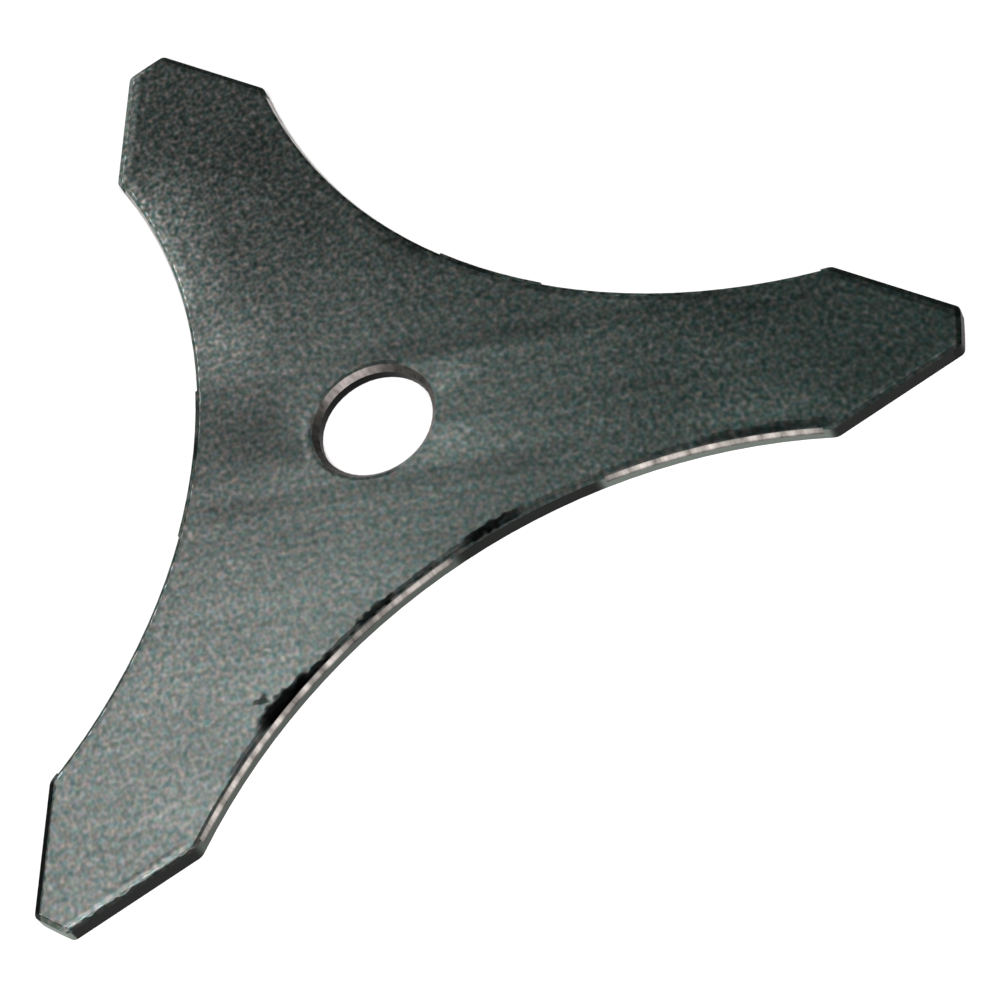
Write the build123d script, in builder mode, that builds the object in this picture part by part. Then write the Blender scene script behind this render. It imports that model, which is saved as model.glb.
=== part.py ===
from build123d import *
from math import asin, degrees, sqrt
import os

os.makedirs("parts", exist_ok=True)

# Blade plate: a triangle with cut-off corners and a round bay in each side, in millimetres
tooth_count = 3
tip_diameter = 250.0
side_distance = 66.4
bay_radius = 126.0
web_radius = 41.2
plate_thickness = 3.5
tip_corner_radius = 1.6
shoulder_radius = 2.5

# Top edge as punching leaves it: drawn down in a shallow slope
roll_width = 1.1
roll_depth = 0.3

# Arbor bore through the middle
bore_diameter = 25.4
bore_countersink = 1.2
bore_deburr = 0.25

# Cutting edges ground by hand into both flanks of each tooth. Each pair of lengths is one tooth:
# how far from its shoulders its counter-clockwise flank, then its clockwise one, is ground.
ground_recess = 0.5
ground_depth = 1.8
ground_lengths = [(64.0, 48.0), (66.0, 72.0), (79.0, 60.0)]
ground_margin = 2.3
wheel_overrun = 1.0

# Places worked out from the sizes above
bay_angle = 360.0 / tooth_count
bay_centre_distance = web_radius + bay_radius
half_bay_width = sqrt(bay_radius**2 - (bay_centre_distance - side_distance) ** 2)
shoulder_angle = degrees(asin(half_bay_width / bay_radius))
margin_angle = degrees(ground_margin / bay_radius)
bay_axis = Axis((bay_centre_distance, 0, 0), (0, 0, 1))


def wheel_path(ground_length, side):
    """Space that the grinding wheel clears along one flank of a bay whose middle is on +X.

    The side is 1 for the flank that the bay has towards +Y and -1 for the one towards -Y.
    """
    ground_angle = degrees(ground_length / bay_radius)
    start_angle = 180.0 - side * (shoulder_angle - margin_angle)
    slope = ground_recess / ground_depth
    top = plate_thickness + wheel_overrun
    bottom = plate_thickness - ground_depth - wheel_overrun
    top_reach = bay_radius + slope * (ground_depth + wheel_overrun)
    bottom_reach = bay_radius - slope * wheel_overrun
    inner_reach = bottom_reach - wheel_overrun
    wheel_plane = Plane(
        origin=(bay_centre_distance, 0, 0),
        x_dir=Vector(1, 0, 0).rotate(Axis.Z, start_angle),
        z_dir=Vector(0, -1, 0).rotate(Axis.Z, start_angle),
    )
    with BuildPart() as wheel:
        with BuildSketch(wheel_plane):
            with BuildLine():
                Polyline(
                    (inner_reach, bottom),
                    (bottom_reach, bottom),
                    (top_reach, top),
                    (inner_reach, top),
                    close=True,
                )
            make_face()
        revolve(axis=bay_axis, revolution_arc=side * (ground_angle - margin_angle))
    return wheel.part


with BuildPart() as blade:
    with BuildSketch() as outline:
        RegularPolygon(side_distance, tooth_count, major_radius=False)
        Circle(tip_diameter / 2, mode=Mode.INTERSECT)
        with PolarLocations(bay_centre_distance, tooth_count, start_angle=bay_angle / 2):
            Circle(bay_radius, mode=Mode.SUBTRACT)
        fillet(outline.vertices().group_by(SortBy.DISTANCE)[-1], tip_corner_radius)
        fillet(outline.vertices().group_by(SortBy.DISTANCE)[0], shoulder_radius)
    extrude(amount=plate_thickness)

    # The slope that punching leaves goes all round the top face
    top_face = blade.faces().sort_by(Axis.Z)[-1]
    chamfer(top_face.edges(), roll_width, roll_depth, reference=top_face)

    # Bore with a wide countersink above and its burr taken off below
    Hole(bore_diameter / 2)
    bore_rims = blade.edges().filter_by(GeomType.CIRCLE).filter_by(
        lambda edge: abs(edge.radius - bore_diameter / 2) < 0.001
    )
    chamfer(bore_rims.sort_by(Axis.Z)[-1], bore_countersink)
    chamfer(bore_rims.sort_by(Axis.Z)[0], bore_deburr)

    # Ground cutting edges, one on each flank of each tooth
    for tooth in range(tooth_count):
        tooth_angle = tooth * bay_angle
        ahead_length, behind_length = ground_lengths[tooth % len(ground_lengths)]
        with Locations(Rotation(0, 0, tooth_angle + bay_angle / 2)):
            add(wheel_path(ahead_length, -1), mode=Mode.SUBTRACT)
        with Locations(Rotation(0, 0, tooth_angle - bay_angle / 2)):
            add(wheel_path(behind_length, 1), mode=Mode.SUBTRACT)

blade.part.label = "blade"
export_step(blade.part, "parts/blade.step")
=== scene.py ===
"""Studio picture of a three-toothed brush cutter blade, lying flat on a pale floor."""

from __future__ import annotations

import logging
import math
from dataclasses import dataclass
from enum import Enum

import bmesh
import bpy
from mathutils import Matrix, Vector


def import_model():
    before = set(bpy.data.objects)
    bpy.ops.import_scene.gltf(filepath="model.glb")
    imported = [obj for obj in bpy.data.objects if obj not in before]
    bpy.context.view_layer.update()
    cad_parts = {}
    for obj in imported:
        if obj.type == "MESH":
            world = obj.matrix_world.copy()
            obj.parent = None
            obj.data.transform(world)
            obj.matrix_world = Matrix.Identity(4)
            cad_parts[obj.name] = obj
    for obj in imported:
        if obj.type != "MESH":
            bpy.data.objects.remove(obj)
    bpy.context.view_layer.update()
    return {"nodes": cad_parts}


LOG = logging.getLogger("blade_scene")
MM = 0.001

Tree = bpy.types.NodeTree
Node = bpy.types.Node
Socket = bpy.types.NodeSocket
Colour = tuple[float, float, float, float]

# Kinds of node and settings that come up often
MATH = "ShaderNodeMath"
VECTOR_MATH = "ShaderNodeVectorMath"
MIX = "ShaderNodeMix"
MAP_RANGE = "ShaderNodeMapRange"
NOISE = "ShaderNodeTexNoise"
ROTATE = "ShaderNodeVectorRotate"
SPLIT = "ShaderNodeSeparateXYZ"
JOIN = "ShaderNodeCombineXYZ"
ADD = {"operation": "ADD"}
SUBTRACT = {"operation": "SUBTRACT"}
MULTIPLY = {"operation": "MULTIPLY"}
MULTIPLY_ADD = {"operation": "MULTIPLY_ADD"}
ABSOLUTE = {"operation": "ABSOLUTE"}
ARCTAN2 = {"operation": "ARCTAN2"}
EXPONENT = {"operation": "EXPONENT"}
LENGTH = {"operation": "LENGTH"}
SCALE = {"operation": "SCALE"}
ABOUT_Z = {"rotation_type": "Z_AXIS"}
FLAT_NOISE = {"noise_dimensions": "2D"}
COLOURS = {"data_type": "RGBA"}
VALUES = {"data_type": "FLOAT"}
SMOOTH = {"interpolation_type": "SMOOTHSTEP", "clamp": False}
SMOOTH_VECTORS = {"data_type": "FLOAT_VECTOR", **SMOOTH}

# Sockets that share their name with others go by number
MIX_A, MIX_B, MIX_RESULT = 6, 7, 2
BLEND_A, BLEND_B = 2, 3
RANGE_VECTOR, RANGE_FROM, RANGE_TO, RANGE_RESULT = 6, 7, 8, 1

# A noise stays within about a quarter of its middle, so this brings its swing to about 1
NOISE_SPREAD = 4.0
NOISE_MIDDLE = (0.5, 0.5, 0.5)

# The rolling drew the scale's spots out a little along the plate
ROLLED = (1.25, 1.0, 1.0)


def linear(hex_code: str) -> Colour:
    """Turns an sRGB colour into the linear one that shaders use.

    Args:
        hex_code: The colour as six hex digits.

    Returns:
        Linear red, green and blue, and an alpha of 1.
    """
    parts = [int(hex_code[i : i + 2], 16) / 255 for i in (0, 2, 4)]
    return (*(p / 12.92 if p <= 0.04045 else ((p + 0.055) / 1.055) ** 2.4 for p in parts), 1.0)


def add_node(
    tree: Tree,
    kind: str,
    settings: dict[str, object] | None = None,
    feeds: dict[int | str, object] | None = None,
) -> Node:
    """Adds one node, sets its options and fills or links its inputs.

    Args:
        tree: The node tree that gets the node.
        kind: The node's Blender type name.
        settings: Options of the node, by attribute name.
        feeds: Values, output sockets, or nodes whose first output is used, by input name or
            number.

    Returns:
        The new node.
    """
    node = tree.nodes.new(kind)
    for name, value in (settings or {}).items():
        setattr(node, name, value)
    for socket, value in (feeds or {}).items():
        if isinstance(value, Node):
            value = value.outputs[0]
        if isinstance(value, Socket):
            tree.links.new(value, node.inputs[socket])
        else:
            node.inputs[socket].default_value = value
    return node


class Tone(Enum):
    """Colours of the blade and its surroundings, as sRGB hex."""

    OXIDE = "575b59"
    WALL_SCALE = "1c1f1d"
    BARE_STEEL = "aea8a3"
    WORN_STEEL = "716c69"
    FLOOR = "f3f3f2"
    ROOM = "5f6a65"
    FAR_WALL = "c9ccca"
    SHEEN_LIGHT = "ffffff"
    FILL_LIGHT = "fffafc"

    @property
    def rgba(self) -> Colour:
        """The colour as shaders use it."""
        return linear(self.value)


class Edge(Enum):
    """The kinds of edge that the plate's outline is made of."""

    FLANK = "flank"
    CUT = "cut"
    END = "end"
    BORE = "bore"


@dataclass(frozen=True)
class Band:
    """A stretch along one edge that is darker or lighter, in millimetres.

    The angle names the bay, the tooth end or the side of the bore. The stretch runs from start
    to stop, measured along the edge from its middle, and reaches from outer to inner, measured
    from the edge into the steel. The gain is its share of tone added or, if negative, taken.
    """

    edge: Edge
    angle_deg: float
    start: float
    stop: float
    outer: float
    inner: float
    gain: float
    soft: float = 0.45
    fade: float = 3.0


@dataclass(frozen=True)
class Patch:
    """A spot on the top face that is darker or lighter, as an ellipse in millimetres."""

    x: float
    y: float
    half_length: float
    half_width: float
    turn_deg: float = 0.0
    gain: float = -0.85
    soft: float = 0.35


@dataclass(frozen=True)
class Streak:
    """A streak along X that is darker or lighter, in millimetres.

    It reaches from low to high across X and from start to stop along it, and goes soft beyond
    the first and fades beyond the second.
    """

    low: float
    high: float
    soft: float
    start: float
    stop: float
    fade: float
    gain: float


@dataclass(frozen=True)
class Spots:
    """A noise of a real size: how large its spots are and how far their tone swings."""

    size_mm: float
    gain: float
    stretch: tuple[float, float, float] = (1.0, 1.0, 1.0)


@dataclass(frozen=True)
class Ramp:
    """A value that changes between two places, which are given in millimetres."""

    start: float
    stop: float
    first: float
    last: float

    @property
    def feeds(self) -> dict[str, float]:
        """Inputs that make a map range node follow the ramp.

        Returns:
            The four limits, by input name.
        """
        return {
            "From Min": self.start,
            "From Max": self.stop,
            "To Min": self.first,
            "To Max": self.last,
        }


@dataclass(frozen=True)
class PlateShape:
    """Sizes of the punched plate that its finish follows, in millimetres.

    The half arc runs from a bay's middle to its shoulder. The ground lengths are, for each bay,
    how far it is ground from its clockwise shoulder and from its other one, and the shoulder gap
    is what the wheel leaves beside either.
    """

    tip_radius: float = 125.0
    bay_radius: float = 126.0
    web_radius: float = 41.2
    side_distance: float = 66.4
    half_arc: float = 81.1
    shoulder_gap: float = 2.0
    bore_rim_radius: float = 13.9
    bay_angles_deg: tuple[float, ...] = (60.0, 180.0, 300.0)
    tooth_angles_deg: tuple[float, ...] = (0.0, 120.0, 240.0)
    bore_angles_deg: tuple[float, ...] = (105.0, 230.0)
    ground_lengths: tuple[tuple[float, float], ...] = ((64.0, 72.0), (66.0, 60.0), (79.0, 48.0))

    @property
    def bay_centre_distance(self) -> float:
        """Distance from the bore's axis to the middle of a bay's arc."""
        return self.web_radius + self.bay_radius


@dataclass(frozen=True)
class ScaledSteel:
    """Spring steel plate, punched, hardened and ground by hand.

    The furnace leaves dark grey scale with a satin sheen on top, drawn into streaks by the
    quench. Sheared walls are near black and dull. Grinding lays steel bare: bright, with the
    wheel's marks, and with dark lines of scale beside it. The countersink is worn half bright.
    Painted light lies over the scale: soft lighter and darker areas, painted highlights and
    shade along the edges, and painted shade toward the tooth on +X.
    """

    shape: PlateShape
    top_bands: tuple[Band, ...]
    wall_bands: tuple[Band, ...]
    bare_bands: tuple[Band, ...]
    patches: tuple[Patch, ...]
    streaks: tuple[Streak, ...]

    # How level the faces of each finish lie, where 0 is upright and 1 is flat
    wall_lean: tuple[float, float] = (-1.0, 0.12)
    ground_lean: tuple[float, float] = (0.18, 0.45)
    worn_lean: tuple[float, float] = (0.55, 0.85)
    lean_soft: float = 0.02
    scale_roughness: float = 0.31
    wall_roughness: float = 0.55
    ground_roughness: float = 0.36
    worn_roughness: float = 0.5

    # Only the upper half of the blade has the top's own tones, the underside is plain
    upper_half: Ramp = Ramp(1.0, 2.0, 0.0, 1.0)

    # Real scale is grained far finer than the picture can show, so the spots are drawn coarser
    grain: tuple[Spots, ...] = (
        Spots(2.0, 0.13, ROLLED),
        Spots(1.35, 0.22, ROLLED),
        Spots(0.9, 0.26, ROLLED),
    )
    relief: Spots = Spots(1.35, 1.0)
    relief_strength: float = 0.2
    relief_mm: float = 0.02
    rolling_angle_deg: float = 120.0
    grain_sideways: Ramp = Ramp(-70.0, 70.0, -0.4, 0.27)
    grain_outward: Ramp = Ramp(20.0, 70.0, 0.72, 0.97)

    # Light specks lean to red, dark ones to green, and the tooth on +X as a whole to green, the tint
    # of the painted shade there
    temper_mm: float = 1.5
    speck_tint: tuple[float, float, float] = (0.3, 0.0, 0.03)
    temper_tint: tuple[float, float, float] = (0.65, 0.0, 0.3)
    far_shade_tint: tuple[float, float, float] = (-1.0, 0.0, -0.2)
    far_shade_reach: Ramp = Ramp(-40.0, 110.0, 0.0, 0.16)

    # Slow unevenness, and painted shade that darkens the top toward the tooth on +X
    mottling: Spots = Spots(22.0, 0.08)
    painted_far_shade: Ramp = Ramp(-20.0, 32.0, 1.0, 0.8)

    # Washed lighter in the lee of the bore, with fine lines along X all over
    lee_half_width: float = 11.7
    lee_soft: float = 3.0
    lee_fade: Ramp = Ramp(75.0, 12.7, 0.0, 0.34)
    lee_reach: tuple[float, float] = (2.0, 200.0)
    lee_start_soft: float = 8.0
    wash: Spots = Spots(2.0, 0.06, (30.0, 1.0, 1.0))

    # The wheel's marks on the ground steel, drawn coarser than its grit so that they show, and
    # how much cleaner the steel is in the middle of the ground strip than at its foot and brow
    wheel_lines: Spots = Spots(0.6, 0.12)
    wheel_chatter: Spots = Spots(2.4, 0.35)
    foot: Ramp = Ramp(1.65, 2.35, 0.25, 1.0)
    brow: Ramp = Ramp(3.4, 2.95, 0.45, 1.0)

    # How ragged the edges of bands and patches are, and how many notches a millimetre holds
    ragged_mm: float = 0.18
    blotch_mm: float = 0.42
    notches_per_mm: float = 0.6

    # The tip circle runs round the whole blade, so it counts only this far out on a tooth
    tooth_reach: tuple[float, float] = (100.0, 200.0)
    tooth_soft: float = 5.0
    off_tooth: float = 100.0

    def material(self) -> bpy.types.Material:
        """Builds the steel's material from its zones, streaks, grain, dark marks and painted sheen
        and shade.

        Returns:
            The material.
        """
        # Furnace scale gives the eye a dark satin, and only ground places flash like metal
        made = bpy.data.materials.new("scaled_spring_steel")
        made.use_nodes = True
        tree = made.node_tree
        tree.nodes.clear()
        own = add_node(tree, "ShaderNodeTexCoord").outputs["Object"]
        place = add_node(tree, VECTOR_MATH, SCALE, {0: own, "Scale": 1 / MM})
        ragged, blotched = self.ragged_places(tree, place)
        edges = self.edge_coordinates(tree, ragged)
        flat = add_node(tree, SPLIT, feeds={0: place})
        normal = add_node(tree, "ShaderNodeNewGeometry").outputs["True Normal"]
        steep = add_node(tree, SPLIT, feeds={0: normal}).outputs["Z"]
        lean = add_node(tree, MATH, ABSOLUTE, {0: steep})

        grain = self.grain_level(tree, place)
        level = self.top_level(tree, flat, place)
        marks = self.marks(tree, blotched, edges)
        level = add_node(tree, MATH, MULTIPLY, {0: level, 1: marks})
        feeds = {"Value": flat.outputs["Z"], **self.upper_half.feeds}
        upper = add_node(tree, MAP_RANGE, feeds=feeds)
        level = add_node(tree, MIX, VALUES, {0: upper, BLEND_A: 1.0, BLEND_B: level})
        colour = self.scale_colour(tree, level, grain, place)
        rough = self.scale_roughness

        wall_level = add_node(tree, MATH, EXPONENT, {0: self.banded(tree, edges, self.wall_bands)})
        bare_level = add_node(tree, MATH, EXPONENT, {0: self.banded(tree, edges, self.bare_bands)})
        ground_level = self.ground_level(tree, place, bare_level)
        worn_level = add_node(tree, MATH, ADD, {0: 1.0, 1: grain})
        worn_level = add_node(tree, MATH, MULTIPLY, {0: bare_level, 1: worn_level})
        for reach, tone, shade, roughness in (
            (self.wall_lean, Tone.WALL_SCALE, wall_level, self.wall_roughness),
            (self.ground_lean, Tone.BARE_STEEL, ground_level, self.ground_roughness),
            (self.worn_lean, Tone.WORN_STEEL, worn_level, self.worn_roughness),
        ):
            share = self.window(tree, lean, *reach, self.lean_soft)
            tinted = add_node(tree, VECTOR_MATH, SCALE, {0: tone.rgba[:3], "Scale": shade})
            feeds = {0: share, MIX_A: colour, MIX_B: tinted}
            colour = add_node(tree, MIX, COLOURS, feeds).outputs[MIX_RESULT]
            rough = add_node(tree, MIX, VALUES, {0: share, BLEND_A: rough, BLEND_B: roughness})

        feeds = {
            "Strength": self.relief_strength,
            "Distance": self.relief_mm * MM,
            "Height": self.spots(tree, place, self.relief),
        }
        bump = add_node(tree, "ShaderNodeBump", feeds=feeds)
        feeds = {"Base Color": colour, "Metallic": 1.0, "Roughness": rough, "Normal": bump}
        shader = add_node(tree, "ShaderNodeBsdfPrincipled", feeds=feeds)
        add_node(tree, "ShaderNodeOutputMaterial", feeds={"Surface": shader})
        return made

    def window(self, tree: Tree, value: Node | Socket, low: float, high: float, soft: float) -> Node:
        """Makes a mask that is 1 between two limits and fades out beyond them.

        Args:
            tree: The material's node tree.
            value: What is tested.
            low: Where the mask has come up to 1.
            high: Where it starts to go down.
            soft: How far each fade reaches.

        Returns:
            The node that gives the mask.
        """
        middle, half = (low + high) / 2, (high - low) / 2
        away = add_node(tree, MATH, SUBTRACT, {0: value, 1: middle})
        away = add_node(tree, MATH, ABSOLUTE, {0: away})
        reach = {"Value": away, "From Min": half + soft, "From Max": half}
        return add_node(tree, MAP_RANGE, SMOOTH, reach)

    def spots(self, tree: Tree, place: Node | Socket, kind: Spots) -> Node:
        """Draws a noise of a real size that swings either side of zero.

        Args:
            tree: The material's node tree.
            place: The place in millimetres.
            kind: Size, swing and stretch of its spots.

        Returns:
            The node that gives the noise.
        """
        packed = tuple(1 / stretch for stretch in kind.stretch)
        drawn = add_node(tree, VECTOR_MATH, MULTIPLY, {0: place, 1: packed})
        feeds = {"Vector": drawn, "Scale": 1 / kind.size_mm, "Detail": 0.0}
        noise = add_node(tree, NOISE, FLAT_NOISE, feeds)
        swing = NOISE_SPREAD * kind.gain
        return add_node(tree, MATH, MULTIPLY_ADD, {0: noise, 1: swing, 2: -swing / 2})

    def ragged_places(self, tree: Tree, place: Node) -> tuple[Node, Node]:
        """Shifts the place to and fro, a little for the bands and further for the patches.

        Args:
            tree: The material's node tree.
            place: The place in millimetres.

        Returns:
            The nodes that give the place for the bands and the one for the patches.
        """
        feeds = {"Vector": place, "Scale": self.notches_per_mm, "Detail": 0.0}
        noise = add_node(tree, NOISE, FLAT_NOISE, feeds).outputs["Color"]
        shift = add_node(tree, VECTOR_MATH, SUBTRACT, {0: noise, 1: NOISE_MIDDLE})
        shifted = []
        for reach_mm in (self.ragged_mm, self.blotch_mm):
            swing = NOISE_SPREAD * reach_mm
            feeds = {0: shift, 1: (swing, swing, 0.0), 2: place}
            shifted.append(add_node(tree, VECTOR_MATH, MULTIPLY_ADD, feeds))
        return shifted[0], shifted[1]

    def edge_coordinates(self, tree: Tree, place: Node) -> dict[tuple[Edge, float], Node]:
        """Works out, for each edge, how far in from it and how far along it a place is.

        Args:
            tree: The material's node tree.
            place: The place in millimetres.

        Returns:
            For each kind of edge and its angle, a node that gives both distances as a vector.
        """
        found = {}
        shape = self.shape
        for angle in shape.bay_angles_deg:
            out, along = self.turned_parts(tree, place, angle)
            inset = add_node(tree, MATH, SUBTRACT, {0: shape.side_distance, 1: out})
            found[Edge.CUT, angle] = add_node(tree, JOIN, feeds={0: inset, 1: along})
            toward = add_node(tree, MATH, SUBTRACT, {0: shape.bay_centre_distance, 1: out})
            found[Edge.FLANK, angle] = self.round_edge(tree, toward, along, shape.bay_radius)
        for angle in shape.tooth_angles_deg:
            out, along = self.turned_parts(tree, place, angle)
            span = self.flat_length(tree, out, along)
            inset = add_node(tree, MATH, SUBTRACT, {0: shape.tip_radius, 1: span})
            share = self.window(tree, out, *self.tooth_reach, self.tooth_soft)
            off_share = add_node(tree, MATH, SUBTRACT, {0: 1.0, 1: share})
            feeds = {0: off_share, 1: self.off_tooth, 2: inset}
            inset = add_node(tree, MATH, MULTIPLY_ADD, feeds)
            found[Edge.END, angle] = add_node(tree, JOIN, feeds={0: inset, 1: along})
        for angle in shape.bore_angles_deg:
            out, along = self.turned_parts(tree, place, angle)
            found[Edge.BORE, angle] = self.round_edge(tree, out, along, shape.bore_rim_radius)
        return found

    def round_edge(
        self, tree: Tree, out: Node | Socket, along: Node | Socket, radius: float
    ) -> Node:
        """Measures how far beyond a round edge a place is, and how far along it.

        Args:
            tree: The material's node tree.
            out: The place's part along the direction from the circle's middle.
            along: Its part square to that direction.
            radius: The circle's radius.

        Returns:
            The node that gives both distances as a vector.
        """
        inset = add_node(tree, MATH, SUBTRACT, {0: self.flat_length(tree, out, along), 1: radius})
        turn = add_node(tree, MATH, ARCTAN2, {0: along, 1: out})
        arc = add_node(tree, MATH, MULTIPLY, {0: turn, 1: radius})
        return add_node(tree, JOIN, feeds={0: inset, 1: arc})

    def flat_length(self, tree: Tree, first: Node | Socket, second: Node | Socket) -> Socket:
        """Gives the length of a flat vector from its two parts."""
        joined = add_node(tree, JOIN, feeds={0: first, 1: second})
        return add_node(tree, VECTOR_MATH, LENGTH, {0: joined}).outputs["Value"]

    def turned_parts(self, tree: Tree, place: Node, angle_deg: float) -> tuple[Socket, Socket]:
        """Splits a place into its parts along and square to a direction.

        Args:
            tree: The material's node tree.
            place: The place in millimetres.
            angle_deg: The direction's angle from +X.

        Returns:
            The sockets of the part along the direction and of the one to its left.
        """
        feeds = {"Vector": place, "Angle": -math.radians(angle_deg)}
        split = add_node(tree, SPLIT, feeds={0: add_node(tree, ROTATE, ABOUT_Z, feeds)})
        return split.outputs["X"], split.outputs["Y"]

    def banded(
        self, tree: Tree, edges: dict[tuple[Edge, float], Node], bands: tuple[Band, ...]
    ) -> Node | float:
        """Gathers what the bands along the edges do to a tone.

        Args:
            tree: The material's node tree.
            edges: The distances from and along the edges.
            bands: The bands.

        Returns:
            The natural logarithm of the factor for the tone.
        """
        total = 0.0
        for band in bands:
            # The third part of each vector isn't used, it only has to be a valid range
            middle = ((band.outer + band.inner) / 2, (band.start + band.stop) / 2, 0.0)
            half = ((band.inner - band.outer) / 2, (band.stop - band.start) / 2, 1.0)
            faded = (half[0] + band.soft, half[1] + band.fade, 2.0)
            feeds = {0: edges[band.edge, band.angle_deg], 1: middle}
            away = add_node(tree, VECTOR_MATH, SUBTRACT, feeds)
            away = add_node(tree, VECTOR_MATH, ABSOLUTE, {0: away})
            feeds = {RANGE_VECTOR: away, RANGE_FROM: faded, RANGE_TO: half}
            shares = add_node(tree, MAP_RANGE, SMOOTH_VECTORS, feeds).outputs[RANGE_RESULT]
            split = add_node(tree, SPLIT, feeds={0: shares})
            share = add_node(tree, MATH, MULTIPLY, {0: split, 1: split.outputs["Y"]})
            feeds = {0: share, 1: math.log1p(band.gain), 2: total}
            total = add_node(tree, MATH, MULTIPLY_ADD, feeds)
        return total

    def marks(self, tree: Tree, place: Node, edges: dict[tuple[Edge, float], Node]) -> Node:
        """Gathers what the bands and patches do to the top face's tone.

        Args:
            tree: The material's node tree.
            place: The place in millimetres, shifted for blotched edges.
            edges: The distances from and along the edges.

        Returns:
            The node that gives the factor for the tone.
        """
        total = self.banded(tree, edges, self.top_bands)
        for patch in self.patches:
            # A turn and a scaling hold fewer values at once than a Mapping node, and with too
            # many held the renderer shows the blade black
            moved = place
            if patch.turn_deg:
                feeds = {
                    "Vector": place,
                    "Center": (patch.x, patch.y, 0.0),
                    "Angle": -math.radians(patch.turn_deg),
                }
                moved = add_node(tree, ROTATE, ABOUT_Z, feeds)
            packed = (1 / patch.half_length, 1 / patch.half_width, 0.0)
            shift = (-patch.x / patch.half_length, -patch.y / patch.half_width, 0.0)
            moved = add_node(tree, VECTOR_MATH, MULTIPLY_ADD, {0: moved, 1: packed, 2: shift})
            span = add_node(tree, VECTOR_MATH, LENGTH, {0: moved}).outputs["Value"]
            reach = {"Value": span, "From Min": 1.0 + patch.soft, "From Max": 1.0 - patch.soft}
            share = add_node(tree, MAP_RANGE, SMOOTH, reach)
            feeds = {0: share, 1: math.log1p(patch.gain), 2: total}
            total = add_node(tree, MATH, MULTIPLY_ADD, feeds)
        return add_node(tree, MATH, EXPONENT, {0: total})

    def grain_level(self, tree: Tree, place: Node) -> Node:
        """Draws the speckle of the oxide scale, strongest on the tooth at +Y.

        Args:
            tree: The material's node tree.
            place: The place in millimetres.

        Returns:
            The node that gives the speckle, either side of zero.
        """
        flat = add_node(tree, SPLIT, feeds={0: place})
        across = flat.outputs["Y"]
        away = self.flat_length(tree, flat, across)
        sideways = add_node(tree, MAP_RANGE, feeds={"Value": across, **self.grain_sideways.feeds})
        outward = add_node(tree, MAP_RANGE, feeds={"Value": away, **self.grain_outward.feeds})
        strength = add_node(tree, MATH, ADD, {0: sideways, 1: outward})
        feeds = {"Vector": place, "Angle": -math.radians(self.rolling_angle_deg)}
        rolled = add_node(tree, ROTATE, ABOUT_Z, feeds)
        speckle = 0.0
        for size in self.grain:
            speckle = add_node(tree, MATH, ADD, {0: speckle, 1: self.spots(tree, rolled, size)})
        return add_node(tree, MATH, MULTIPLY, {0: speckle, 1: strength})

    def scale_colour(self, tree: Tree, level: Node, grain: Node, place: Node) -> Node:
        """Colours the scale by its tone, its speckle and the green tint of the painted shade toward
        +X.

        Args:
            tree: The material's node tree.
            level: The tone without its grain.
            grain: The grain, either side of zero.
            place: The place in millimetres.

        Returns:
            The node that gives the colour.
        """
        feeds = {"Vector": place, "Scale": 1 / self.temper_mm, "Detail": 0.0}
        temper = add_node(tree, NOISE, FLAT_NOISE, feeds).outputs["Color"]
        temper = add_node(tree, VECTOR_MATH, SUBTRACT, {0: temper, 1: NOISE_MIDDLE})
        split = add_node(tree, SPLIT, feeds={0: place})
        # Tint of the painted shade: the top turns greener toward the tooth on +X
        far_shade = add_node(tree, MAP_RANGE, feeds={"Value": split, **self.far_shade_reach.feeds})
        tint = (1.0, 1.0, 1.0)
        for source, lean in (
            (grain, self.speck_tint),
            (temper, self.temper_tint),
            (far_shade, self.far_shade_tint),
        ):
            tint = add_node(tree, VECTOR_MATH, MULTIPLY_ADD, {0: source, 1: lean, 2: tint})
        tint = add_node(tree, VECTOR_MATH, MULTIPLY, {0: tint, 1: Tone.OXIDE.rgba[:3]})
        lift = add_node(tree, MATH, EXPONENT, {0: grain})
        lift = add_node(tree, MATH, MULTIPLY, {0: level, 1: lift})
        return add_node(tree, VECTOR_MATH, SCALE, {0: tint, "Scale": lift})

    def top_level(self, tree: Tree, flat: Node, place: Node) -> Node:
        """Works out the tone of the top face without its grain and marks.

        Args:
            tree: The material's node tree.
            flat: The node that splits the place.
            place: The place in millimetres.

        Returns:
            The node that gives the tone.
        """
        level = add_node(tree, MATH, ADD, {0: 1.0, 1: self.streaked(tree, flat, place)})
        mottled = self.spots(tree, place, self.mottling)
        level = add_node(tree, MATH, ADD, {0: level, 1: mottled})
        # Painted shade: the top darkens toward the tooth on +X
        faded = add_node(tree, MAP_RANGE, SMOOTH, {"Value": flat, **self.painted_far_shade.feeds})
        return add_node(tree, MATH, MULTIPLY, {0: level, 1: faded})

    def streaked(self, tree: Tree, flat: Node, place: Node) -> Node:
        """Draws the streaks that the quench left along X, in the lee of the bore.

        Args:
            tree: The material's node tree.
            flat: The node that splits the place.
            place: The place in millimetres.

        Returns:
            The node that gives what the streaks add to the tone.
        """
        across = flat.outputs["Y"]
        lee = self.window(tree, across, -self.lee_half_width, self.lee_half_width, self.lee_soft)
        behind = add_node(tree, MAP_RANGE, SMOOTH, {"Value": flat, **self.lee_fade.feeds})
        past_bore = self.window(tree, flat, *self.lee_reach, self.lee_start_soft)
        lee = add_node(tree, MATH, MULTIPLY, {0: lee, 1: behind})
        total = add_node(tree, MATH, MULTIPLY, {0: lee, 1: past_bore})
        for streak in self.streaks:
            width = self.window(tree, across, streak.low, streak.high, streak.soft)
            length = self.window(tree, flat, streak.start, streak.stop, streak.fade)
            share = add_node(tree, MATH, MULTIPLY, {0: width, 1: length})
            total = add_node(tree, MATH, MULTIPLY_ADD, {0: share, 1: streak.gain, 2: total})
        return add_node(tree, MATH, ADD, {0: total, 1: self.spots(tree, place, self.wash)})

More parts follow.
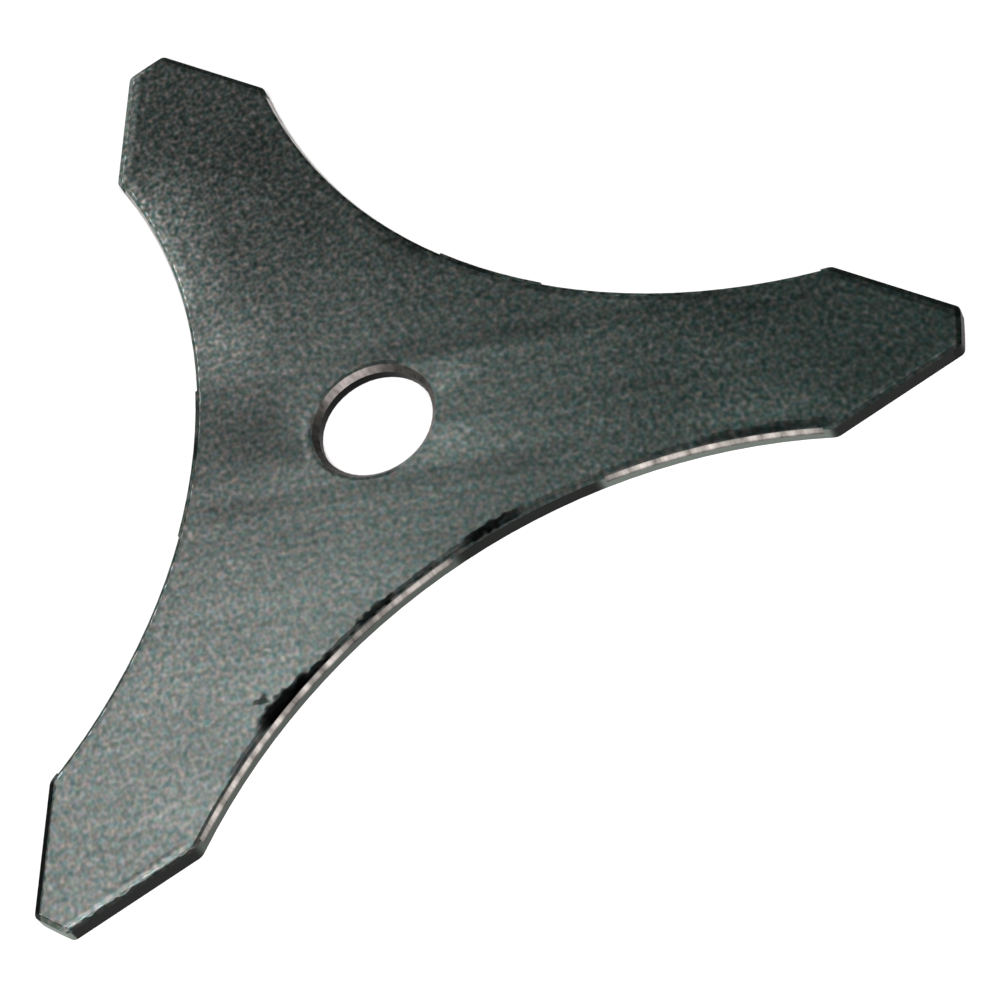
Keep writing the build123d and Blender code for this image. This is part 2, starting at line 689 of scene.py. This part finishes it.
    def ground_level(self, tree: Tree, place: Node, level: Node) -> Node:
        """Works out the tone of the bare ground steel, with the wheel's marks.

        Args:
            tree: The material's node tree.
            place: The place in millimetres.
            level: The tone that its bands give it.

        Returns:
            The node that gives the tone.
        """
        lines = add_node(tree, MATH, ADD, {0: 1.0, 1: self.spots(tree, place, self.wheel_lines)})
        chatter = self.spots(tree, place, self.wheel_chatter)
        marks = add_node(tree, MATH, ADD, {0: lines, 1: chatter})
        height = add_node(tree, SPLIT, feeds={0: place}).outputs["Z"]
        for part in (self.foot, self.brow):
            share = add_node(tree, MAP_RANGE, SMOOTH, {"Value": height, **part.feeds})
            marks = add_node(tree, MATH, MULTIPLY, {0: marks, 1: share})
        return add_node(tree, MATH, MULTIPLY, {0: level, 1: marks})


@dataclass(frozen=True)
class PaintedBoard:
    """Board painted matt white: it scatters light evenly and shows no highlight."""

    roughness: float = 0.9

    def material(self) -> bpy.types.Material:
        """Builds the board's material.

        Returns:
            The material.
        """
        # Matt paint gives the eye an even, pale ground for the dark blade
        made = bpy.data.materials.new("matt_white_board")
        made.use_nodes = True
        tree = made.node_tree
        tree.nodes.clear()
        feeds = {"Base Color": Tone.FLOOR.rgba, "Roughness": self.roughness}
        shader = add_node(tree, "ShaderNodeBsdfPrincipled", feeds=feeds)
        add_node(tree, "ShaderNodeOutputMaterial", feeds={"Surface": shader})
        return made


@dataclass
class BladePlate:
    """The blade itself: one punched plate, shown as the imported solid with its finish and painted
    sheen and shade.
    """

    node: bpy.types.Object
    shape: PlateShape = PlateShape()

    def edge_lines(self) -> tuple[Band, ...]:
        """Lists the dark and light lines just inside the edges of the top face.

        Returns:
            The bands, edge by edge.
        """
        return (
            # Nearest flank: dark lines and marks beside the grinding
            Band(Edge.FLANK, 300.0, -62.0, -48.0, 1.2, 1.8, -0.65, 0.45, 4.0),
            Band(Edge.FLANK, 300.0, -50.0, -41.0, 0.6, 3.0, -0.8),
            Band(Edge.FLANK, 300.0, -42.0, -8.0, 1.0, 1.8, -0.72, 0.45, 4.0),
            Band(Edge.FLANK, 300.0, -6.0, 6.0, 1.0, 1.8, -0.5),
            Band(Edge.FLANK, 300.0, 4.0, 13.0, 0.7, 2.4, -0.82),
            Band(Edge.FLANK, 300.0, 14.0, 56.0, 1.1, 1.8, -0.35),
            Band(Edge.FLANK, 300.0, 57.0, 78.0, 0.9, 2.4, -0.55, 0.6, 5.0),
            # The other two flanks: the light lines along the sloped edge are painted highlights
            # where it catches the light, over a little wear
            Band(Edge.FLANK, 60.0, -55.0, 50.0, 1.0, 2.0, -0.35),
            Band(Edge.FLANK, 60.0, 14.0, 30.0, 0.5, 3.2, -0.3, 1.2, 6.0),
            Band(Edge.FLANK, 60.0, -78.0, -8.0, 0.2, 0.9, 2.2, 0.2, 5.0),
            Band(Edge.FLANK, 60.0, 8.0, 78.0, 0.2, 0.9, 0.8, 0.2, 5.0),
            Band(Edge.FLANK, 180.0, -78.0, -5.0, 0.2, 1.1, 2.0, 0.2, 5.0),
            Band(Edge.FLANK, 180.0, 5.0, 78.0, 0.2, 0.95, 3.5, 0.2, 5.0),
            Band(Edge.FLANK, 180.0, -78.0, -40.0, 0.6, 2.6, 0.5, 1.0, 5.0),
            Band(Edge.FLANK, 180.0, 4.0, 74.0, 1.0, 1.8, -0.15),
            # Straight cuts beside the tips: the light lines are painted highlights on the rounded
            # edges, and the dark lines at the edges painted shade
            Band(Edge.CUT, 300.0, -108.0, -77.0, 1.0, 2.0, 0.5, 0.3, 2.0),
            Band(Edge.CUT, 300.0, -108.0, -77.0, 0.75, 1.1, 1.2, 0.12, 2.0),
            Band(Edge.CUT, 300.0, -108.0, -76.0, -2.0, 0.6, -0.6, 0.2, 2.0),
            Band(Edge.CUT, 300.0, -90.0, -79.0, 2.7, 3.1, -0.35, 0.4, 3.0),
            Band(Edge.CUT, 300.0, 78.0, 108.0, 1.2, 2.0, 0.25, 0.3, 2.0),
            Band(Edge.CUT, 300.0, 78.0, 108.0, -2.0, 0.7, -0.5, 0.4, 2.0),
            Band(Edge.CUT, 180.0, 77.0, 108.0, -2.0, 1.3, -0.65, 0.3, 2.0),
            Band(Edge.CUT, 180.0, -108.0, -77.0, 0.4, 2.4, 0.8, 1.2, 3.0),
            Band(Edge.CUT, 180.0, -108.0, -77.0, -2.0, 1.1, 2.4, 0.2, 3.0),
            Band(Edge.CUT, 60.0, -108.0, -77.0, -2.0, 2.0, -0.4, 0.5, 2.0),
            Band(Edge.CUT, 60.0, 77.0, 108.0, -2.0, 1.6, -0.25, 0.5, 2.0),
            # Round ends of the teeth: the light lines on two are painted highlights on the rounded
            # edge, and the one on +X is darker
            Band(Edge.END, 0.0, -30.0, 30.0, 0.1, 0.9, -0.4, 0.3),
            Band(Edge.END, 120.0, -30.0, 30.0, -2.0, 1.2, 1.5, 0.3),
            Band(Edge.END, 240.0, -4.6, 4.6, -2.0, 0.95, 3.4, 0.2, 0.8),
            # Rim of the bore
            Band(Edge.BORE, 105.0, -8.0, 9.0, 0.0, 0.7, -0.5, 0.4),
            Band(Edge.BORE, 230.0, 0.0, 14.0, 0.0, 0.6, -0.55, 0.35),
            Band(Edge.BORE, 230.0, -14.0, -1.0, -0.2, 0.6, -0.45, 0.4),
            Band(Edge.BORE, 230.0, -16.0, -6.0, 1.6, 2.3, 0.35, 0.4),
        )

    def wall_lines(self) -> tuple[Band, ...]:
        """Lists the lighter and darker stretches of the walls.

        Returns:
            The land below each ground edge, two tooth ends and one side of the bore.
        """
        half_arc = self.shape.half_arc
        shoulder = half_arc - self.shape.shoulder_gap
        bands = []
        for angle, ground in zip(self.shape.bay_angles_deg, self.shape.ground_lengths):
            first_end = ground[0] - half_arc
            second_start = half_arc - ground[1]
            bands.append(Band(Edge.FLANK, angle, -shoulder, first_end, -1.0, 1.0, 6.3))
            bands.append(Band(Edge.FLANK, angle, second_start, shoulder, -1.0, 1.0, 12.0))
        bands.append(Band(Edge.END, 240.0, -4.6, 4.6, -2.0, 0.6, 14.0, 0.2, 0.6))
        bands.append(Band(Edge.END, 0.0, -30.0, 30.0, -2.0, 1.5, -0.6))
        bands.append(Band(Edge.BORE, 105.0, -60.0, 60.0, -4.0, -1.0, -0.6))
        return tuple(bands)

    def bare_lines(self) -> tuple[Band, ...]:
        """Lists the duller stretches of the bare steel.

        Returns:
            The run-outs, darker spots, the two far flanks, darkened as painted shade, and one side
            of the bore's rim.
        """
        return (
            Band(Edge.FLANK, 300.0, -28.0, -20.0, -2.0, 2.0, -0.5, 0.3, 5.0),
            Band(Edge.FLANK, 300.0, -39.0, -36.0, -2.0, 2.0, -0.35, 0.3, 2.0),
            Band(Edge.FLANK, 300.0, -48.0, -45.0, -2.0, 2.0, -0.4, 0.3, 2.0),
            Band(Edge.FLANK, 300.0, -84.0, -78.0, -2.0, 2.0, -0.5, 0.3, 3.0),
            Band(Edge.FLANK, 300.0, -3.5, 0.0, -2.0, 2.0, -0.5, 0.3, 3.0),
            Band(Edge.FLANK, 300.0, 30.0, 34.5, -2.0, 2.0, -0.5, 0.3, 3.0),
            Band(Edge.FLANK, 300.0, 78.0, 84.0, -2.0, 2.0, -0.5, 0.3, 3.0),
            # Painted shade: the ground steel of the two far flanks is darkened
            Band(Edge.FLANK, 60.0, -84.0, 84.0, -2.0, 2.0, -0.4, 0.3),
            Band(Edge.FLANK, 180.0, -84.0, 84.0, -2.0, 2.0, -0.4, 0.3),
            Band(Edge.BORE, 230.0, -14.0, 16.0, -2.0, 1.0, -0.5, 0.3, 6.0),
        )

    def patches(self) -> tuple[Patch, ...]:
        """Lists the spots and areas of the top face that are darker or lighter.

        Returns:
            The patches, the sharpest first.
        """
        return (
            # Dark marks and a dark edge beside the grinding of the nearest flank
            Patch(-16.5, -65.5, 6.0, 2.1, 47.0, -0.93),
            Patch(-9.5, -58.5, 5.5, 1.2, 42.0, -0.85),
            Patch(-20.8, -63.7, 1.6, 1.1, 20.0, -0.8),
            Patch(3.0, -46.0, 4.5, 1.0, 38.0, -0.8),
            Patch(26.5, -30.5, 4.0, 1.0, 28.0, -0.7),
            Patch(84.0, -17.8, 7.0, 1.0, 0.0, -0.45, 0.6),
            # Small light spots
            Patch(-32.0, -67.0, 1.1, 0.8, 20.0, 0.55, 0.6),
            Patch(-20.0, -52.0, 0.9, 0.7, 0.0, 0.5, 0.6),
            Patch(-16.5, -54.5, 0.9, 0.7, 0.0, 0.5, 0.6),
            # Soft lighter and darker areas: painted sheen and shade across the top face, partly the
            # scale's own unevenness
            Patch(14.0, 5.0, 4.0, 2.0, 60.0, 0.25, 0.6),
            Patch(-50.0, 54.0, 24.0, 8.0, 112.0, 0.75, 0.75),
            Patch(-22.0, 66.0, 26.0, 7.0, -60.0, -0.25, 0.7),
            Patch(-50.0, 86.0, 14.0, 8.0, 115.0, -0.17, 0.7),
            Patch(-36.0, 25.0, 10.0, 7.0, 20.0, 0.35, 0.7),
            Patch(50.0, 20.0, 10.0, 6.0, 0.0, 0.2, 0.7),
            Patch(-16.0, -28.0, 12.0, 8.0, 60.0, -0.1, 0.7),
            Patch(95.0, 0.0, 24.0, 24.0, 0.0, 0.08, 0.6),
            Patch(17.0, 8.0, 4.5, 3.0, 0.0, 0.35, 0.7),
            Patch(17.5, -7.0, 4.5, 3.0, 0.0, 0.35, 0.7),
            Patch(-17.5, -5.0, 4.0, 3.5, 0.0, -0.3, 0.7),
            Patch(-29.0, -17.0, 9.0, 5.5, -10.0, -0.22, 0.7),
            Patch(-36.0, 76.0, 8.0, 6.0, 0.0, -0.2, 0.7),
            Patch(0.0, 43.0, 7.0, 4.0, -25.0, -0.2, 0.7),
            Patch(77.0, 13.0, 8.0, 5.0, 0.0, -0.15, 0.7),
            Patch(-33.0, -98.0, 12.0, 8.0, 60.0, -0.12, 0.7),
            Patch(-25.0, 43.0, 8.0, 6.0, 0.0, -0.16, 0.7),
            Patch(-28.0, 0.0, 8.0, 7.0, 0.0, -0.27, 0.7),
            Patch(80.0, -13.0, 16.0, 4.0, 0.0, 0.2, 0.7),
        )

    def streaks(self) -> tuple[Streak, ...]:
        """Lists the dark streaks of the quench.

        Returns:
            Three thin streaks behind and beside the bore, and a broad one ahead of it.
        """
        return (
            Streak(-2.2, -1.2, 1.6, 16.0, 60.0, 25.0, -0.2),
            Streak(15.5, 17.5, 2.5, 0.0, 55.0, 20.0, -0.2),
            Streak(-17.5, -15.8, 2.0, -30.0, 32.0, 14.0, -0.2),
            Streak(-7.0, 10.0, 6.0, -60.0, -26.0, 10.0, -0.3),
        )

    def dress(self) -> bpy.types.Object:
        """Gives the plate its steel finish.

        Returns:
            The plate's object.
        """
        steel = ScaledSteel(
            shape=self.shape,
            top_bands=self.edge_lines(),
            wall_bands=self.wall_lines(),
            bare_bands=self.bare_lines(),
            patches=self.patches(),
            streaks=self.streaks(),
        )
        self.node.data.materials.clear()
        self.node.data.materials.append(steel.material())
        return self.node


@dataclass
class StudioFloor:
    """A pale board under the blade, a hair below it so that the two faces don't fight."""

    half_side: float = 1.6
    gap: float = 0.05 * MM

    def build(self) -> bpy.types.Object:
        """Makes the board's mesh and lays it under the blade.

        Returns:
            The floor's object.
        """
        shell = bmesh.new()
        lowered = Matrix.Translation((0.0, 0.0, -self.gap))
        bmesh.ops.create_grid(
            shell, x_segments=1, y_segments=1, size=self.half_side, matrix=lowered
        )
        mesh = bpy.data.meshes.new("studio_floor")
        shell.to_mesh(mesh)
        shell.free()
        floor = bpy.data.objects.new("studio_floor", mesh)
        bpy.context.scene.collection.objects.link(floor)
        mesh.materials.append(PaintedBoard().material())
        return floor


@dataclass(frozen=True)
class Softbox:
    """A square softbox that points at the blade, its sizes in metres."""

    name: str
    place: tuple[float, float, float]
    side: float
    watts: float
    tone: Tone

    def build(self) -> bpy.types.Object:
        """Makes the light and turns it to the blade.

        Returns:
            The light's object.
        """
        lamp = bpy.data.lights.new(self.name, "AREA")
        lamp.shape = "SQUARE"
        lamp.size = self.side
        lamp.energy = self.watts
        lamp.color = self.tone.rgba[:3]
        light = bpy.data.objects.new(self.name, lamp)
        light.location = self.place
        light.rotation_mode = "QUATERNION"
        light.rotation_quaternion = (-Vector(self.place)).to_track_quat("-Z", "Y")
        bpy.context.scene.collection.objects.link(light)
        return light


@dataclass
class StudioLights:
    """A small softbox whose sheen falls on one tooth, a large one for the floor, and the room."""

    sheen: Softbox = Softbox("sheen_softbox", (-0.83, 0.86, 2.0), 0.45, 7.0, Tone.SHEEN_LIGHT)
    fill: Softbox = Softbox("fill_softbox", (0.5, -0.9, 1.8), 1.3, 66.0, Tone.FILL_LIGHT)

    def build(self) -> list[bpy.types.Object]:
        """Makes both softboxes and the room's light.

        Returns:
            The objects of both lights.
        """
        world = bpy.data.worlds.new("pale_room")
        world.use_nodes = True
        tree = world.node_tree
        tree.nodes.clear()
        # The steel mirrors a dim room, but past the floor's rim a pale wall is seen
        seen = add_node(tree, "ShaderNodeLightPath").outputs["Is Camera Ray"]
        feeds = {0: seen, MIX_A: Tone.ROOM.rgba, MIX_B: Tone.FAR_WALL.rgba}
        tone = add_node(tree, MIX, COLOURS, feeds).outputs[MIX_RESULT]
        room = add_node(tree, "ShaderNodeBackground", feeds={"Color": tone})
        add_node(tree, "ShaderNodeOutputWorld", feeds={"Surface": room})
        bpy.context.scene.world = world
        return [self.sheen.build(), self.fill.build()]


@dataclass
class PhotoCamera:
    """The camera at the photograph's viewing angle, worked out from the blade's outline."""

    aim: tuple[float, float, float] = (28.24 * MM, -23.39 * MM, 1.75 * MM)
    distance: float = 720.9 * MM
    azimuth_deg: float = -60.37
    elevation_deg: float = 52.94
    roll_deg: float = 33.12
    lens_mm: float = 127.45
    sensor_mm: float = 36.0

    def build(self) -> bpy.types.Object:
        """Makes the camera and sets it as the scene's.

        Returns:
            The camera's object.
        """
        lens = bpy.data.cameras.new("photo_camera")
        lens.lens = self.lens_mm
        lens.sensor_width = self.sensor_mm
        camera = bpy.data.objects.new("photo_camera", lens)
        around, above = math.radians(self.azimuth_deg), math.radians(self.elevation_deg)
        level = math.cos(above)
        back = Vector((math.cos(around) * level, math.sin(around) * level, math.sin(above)))
        upright = (-back).to_track_quat("-Z", "Y")
        roll = Matrix.Rotation(math.radians(-self.roll_deg), 4, "Z").to_quaternion()
        camera.rotation_mode = "QUATERNION"
        camera.location = Vector(self.aim) + back * self.distance
        camera.rotation_quaternion = upright @ roll
        bpy.context.scene.collection.objects.link(camera)
        bpy.context.scene.camera = camera
        return camera


def set_plain_colours() -> None:
    """Shows the picture's colours as they are, with no film look."""
    bpy.context.scene.view_settings.view_transform = "Standard"
    bpy.context.scene.view_settings.look = "None"


def main() -> None:
    """Builds the camera, the lights, the floor and the blade, in that order."""
    logging.basicConfig(level=logging.INFO)
    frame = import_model()
    set_plain_colours()
    camera = PhotoCamera().build()
    LOG.info("camera %s", camera.name)
    for light in StudioLights().build():
        LOG.info("light %s", light.name)
    floor = StudioFloor().build()
    LOG.info("floor %s", floor.name)
    blade = BladePlate(frame["nodes"]["blade"]).dress()
    LOG.info("piece %s with %d faces", blade.name, len(blade.data.polygons))


if __name__ == "__main__":
    main()
